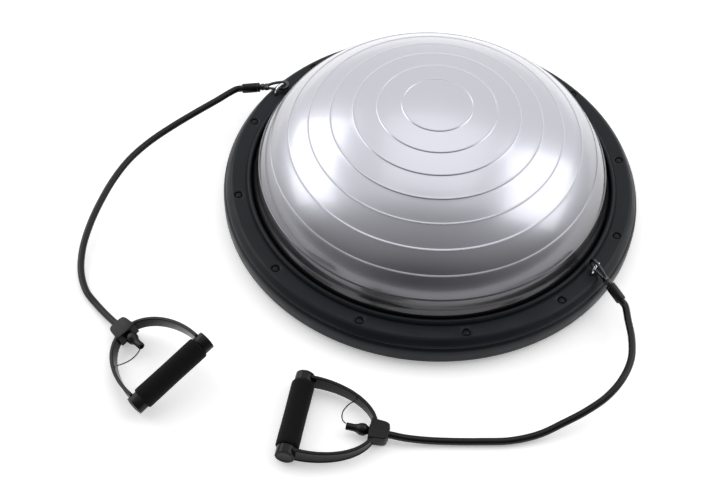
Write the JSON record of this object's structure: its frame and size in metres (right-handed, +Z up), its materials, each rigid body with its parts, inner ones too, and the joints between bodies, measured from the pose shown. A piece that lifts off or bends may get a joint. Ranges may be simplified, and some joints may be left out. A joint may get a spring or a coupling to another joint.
{
  "type": "balance dome trainer",
  "caption": "Inflated half-round balance dome clamped on a flat round base, with a stretchy tube and a D-shaped foam-grip handle clipped to an eye on each side.",
  "frame": {"origin": "centre of the pad under the base, on the floor", "axes": "+X through the right eye on the rim, +Z up through the top of the dome, the handles lie on the -Y side"},
  "size_m": [0.787, 0.8527, 0.2],
  "materials": {
    "charcoal_plastic": "satin, finely grained",
    "silver_membrane": "semi-gloss, pearly",
    "floor_sheet": "matte",
    "black_rubber": "matte",
    "tube_rubber": "satin",
    "chrome_plate": "polished",
    "zinc_plate": "satin",
    "gunmetal": "satin, dark",
    "barrel_plastic": "glossy",
    "handle_plastic": "satin",
    "foam": "closed-cell foam, matte",
    "cord_fabric": "braided"
  },
  "bodies": {
    "root": {"base_tray": "charcoal_plastic", "foot_01": "black_rubber", "foot_02": "black_rubber", "foot_03": "black_rubber", "foot_04": "black_rubber", "foot_05": "black_rubber", "foot_06": "black_rubber", "clamp_ring": "charcoal_plastic", "rim_screw_01": "black_rubber", "rim_screw_02": "black_rubber", "rim_screw_03": "black_rubber", "rim_screw_04": "black_rubber", "rim_screw_05": "black_rubber", "rim_screw_06": "black_rubber", "rim_screw_07": "black_rubber", "rim_screw_08": "black_rubber", "rim_screw_09": "black_rubber", "rim_screw_10": "black_rubber", "rim_screw_11": "black_rubber", "rim_screw_12": "black_rubber", "dome_floor_sheet": "floor_sheet", "valve_seat": "black_rubber", "left_eye": "chrome_plate", "left_eye_nut_a": "zinc_plate", "left_eye_nut_b": "zinc_plate", "right_eye": "chrome_plate", "right_eye_nut_a": "zinc_plate", "right_eye_nut_b": "zinc_plate"},
    "dome_membrane": {"dome": "silver_membrane"},
    "plug": {"valve_plug": "tube_rubber"},
    "left_clip": {"left_hook": "gunmetal", "left_gate_pin": "zinc_plate", "left_collar": "gunmetal", "left_barrel": "barrel_plastic", "left_tube": "tube_rubber"},
    "left_gate": {"left_hook_gate": "gunmetal"},
    "left_handle": {"left_handle_frame": "handle_plastic", "left_end_cap_a": "handle_plastic", "left_end_cap_b": "handle_plastic", "left_tube_end": "tube_rubber", "left_stopper_ball": "zinc_plate", "left_tether": "cord_fabric"},
    "left_grip": {"left_grip_core": "handle_plastic", "left_grip_foam": "foam"},
    "right_clip": {"right_hook": "gunmetal", "right_gate_pin": "zinc_plate", "right_collar": "gunmetal", "right_barrel": "barrel_plastic", "right_tube": "tube_rubber"},
    "right_gate": {"right_hook_gate": "gunmetal"},
    "right_handle": {"right_handle_frame": "handle_plastic", "right_end_cap_a": "handle_plastic", "right_end_cap_b": "handle_plastic", "right_tube_end": "tube_rubber", "right_stopper_ball": "zinc_plate", "right_tether": "cord_fabric"},
    "right_grip": {"right_grip_core": "handle_plastic", "right_grip_foam": "foam"}
  },
  "joints": [
    {"name": "dome_press", "type": "slide", "parent": "root", "child": "dome_membrane", "axis": [0, 0, -1], "range_m": [0, 0.05], "stiffness_N_per_m": 20000, "springref_m": -0.002, "deforming": ["dome"]},
    {"name": "valve_plug_pull", "type": "slide", "parent": "root", "child": "plug", "axis": [0, 0, -1], "range_m": [0, 0.012]},
    {"name": "left_clip_swing", "type": "hinge", "parent": "root", "child": "left_clip", "pos_m": [-0.279, 0, 0.0512], "axis": [0, 0, 1], "range_deg": [-27, 2]},
    {"name": "left_gate_open", "type": "hinge", "parent": "left_clip", "child": "left_gate", "pos_m": [-0.29574, -0.00823, 0.04863], "axis": [-0.1111, -0.0838, 0.9903], "range_deg": [0, 20], "stiffness_Nm_per_rad": 0.1, "springref_deg": -17.19},
    {"name": "left_handle_lift", "type": "slide", "parent": "left_clip", "child": "left_handle", "axis": [0, 0, 1], "range_m": [0, 0.45], "deforming": ["left_tube"]},
    {"name": "left_grip_spin", "type": "hinge", "parent": "left_handle", "child": "left_grip", "pos_m": [-0.0766, -0.4862, 0.0366], "axis": [-0.1679, -0.9547, -0.2458], "continuous": true},
    {"name": "right_clip_swing", "type": "hinge", "parent": "root", "child": "right_clip", "pos_m": [0.279, -0.0023, 0.0518], "axis": [0, 0, 1], "range_deg": [-2, 27]},
    {"name": "right_gate_open", "type": "hinge", "parent": "right_clip", "child": "right_gate", "pos_m": [0.29745, -0.00777, 0.04923], "axis": [0.284, 0.9588, 0], "range_deg": [0, 20], "stiffness_Nm_per_rad": 0.1, "springref_deg": -17.19},
    {"name": "right_handle_lift", "type": "slide", "parent": "right_clip", "child": "right_handle", "axis": [0, 0, 1], "range_m": [0, 0.45], "deforming": ["right_tube"]},
    {"name": "right_grip_spin", "type": "hinge", "parent": "right_handle", "child": "right_grip", "pos_m": [0.0861, -0.4279, 0.016], "axis": [-0.4352, 0.9003, 0], "continuous": true}
  ]
}
